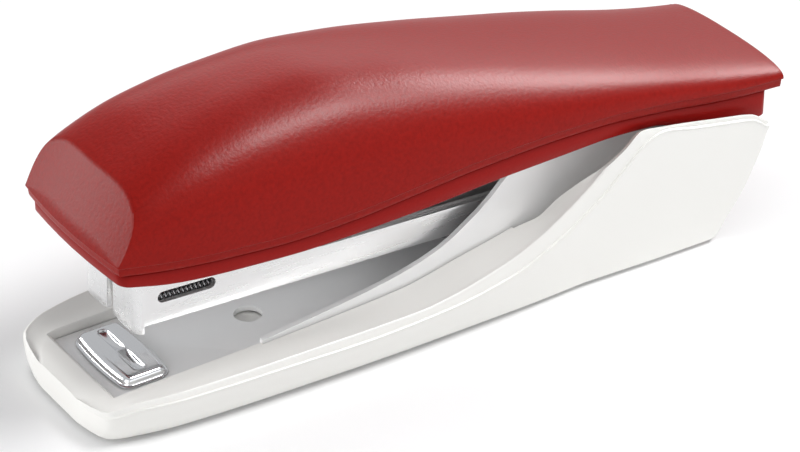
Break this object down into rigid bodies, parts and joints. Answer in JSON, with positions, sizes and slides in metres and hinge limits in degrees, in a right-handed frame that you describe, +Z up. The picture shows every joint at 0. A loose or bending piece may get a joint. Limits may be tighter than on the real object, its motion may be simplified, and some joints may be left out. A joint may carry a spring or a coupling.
{
  "type": "desk stapler",
  "caption": "Desk stapler with a long crowned cap over a sheet-steel magazine and a waisted base with a plated anvil; cap and magazine share one hinge pin.",
  "frame": {"origin": "middle of the footprint, on the desk under the feet", "axes": "+X to the tail where the hinge pin is, -X to the nose, +Z up, Y across; Y = 0 is the plane of symmetry"},
  "size_m": [0.145, 0.0428, 0.0545],
  "materials": {
    "red_cover": "fine moulded grain, semi-gloss",
    "red_skirt": "smooth, semi-gloss",
    "white_shell": "satin",
    "grey_cover": "matt",
    "foot_rubber": "matt",
    "bright_steel": "bright rolled sheet",
    "spring_steel": "polished strip and wire",
    "anvil_chrome": "mirror plated",
    "pusher_steel": "satin sheet",
    "black_nylon": "matt",
    "fastener_steel": "satin"
  },
  "bodies": {
    "base": {"base_shell": "white_shell", "base_channel": "bright_steel", "anvil": "anvil_chrome", "anvil_rivet": "fastener_steel", "bottom_cover": "grey_cover", "foot_front_left": "foot_rubber", "foot_front_right": "foot_rubber", "foot_rear_left": "foot_rubber", "foot_rear_right": "foot_rubber", "base_screw_front": "fastener_steel", "base_screw_rear": "fastener_steel", "hinge_pin": "fastener_steel", "pin_clip_left": "fastener_steel", "pin_clip_right": "fastener_steel", "lift_spring": "spring_steel", "lift_spring_rivet": "fastener_steel"},
    "magazine": {"magazine_channel": "bright_steel", "staple_rail": "bright_steel", "rail_rivet_front": "fastener_steel", "rail_rivet_rear": "fastener_steel", "rear_block": "black_nylon", "cap_spring": "spring_steel", "pusher_spring_left": "spring_steel", "pusher_spring_right": "spring_steel"},
    "pusher": {"pusher": "pusher_steel"},
    "cap": {"cap_cover": "red_cover", "cap_skirt": "red_skirt", "press_arm": "bright_steel", "driver_blade": "spring_steel", "driver_rivet_left": "fastener_steel", "driver_rivet_right": "fastener_steel", "arm_screw_front": "fastener_steel", "arm_screw_rear": "fastener_steel"}
  },
  "joints": [
    {"name": "magazine_pivot", "type": "hinge", "parent": "base", "child": "magazine", "pos_m": [0.047, 0, 0.0205], "axis": [0, 1, 0], "range_deg": [-4.2, 0], "stiffness_Nm_per_rad": 1, "springref_deg": 17.19, "deforming": ["lift_spring"]},
    {"name": "cap_pivot", "type": "hinge", "parent": "magazine", "child": "cap", "pos_m": [0.047, 0, 0.0205], "axis": [0, 1, 0], "range_deg": [-4.2, 65], "stiffness_Nm_per_rad": 1.2, "springref_deg": 2.86, "deforming": ["cap_spring"]},
    {"name": "pusher_slide", "type": "slide", "parent": "magazine", "child": "pusher", "axis": [0.9988, 0, -0.0495], "range_m": [0, 0.05], "stiffness_N_per_m": 60, "springref_m": -0.05, "deforming": ["pusher_spring_left", "pusher_spring_right"]}
  ]
}
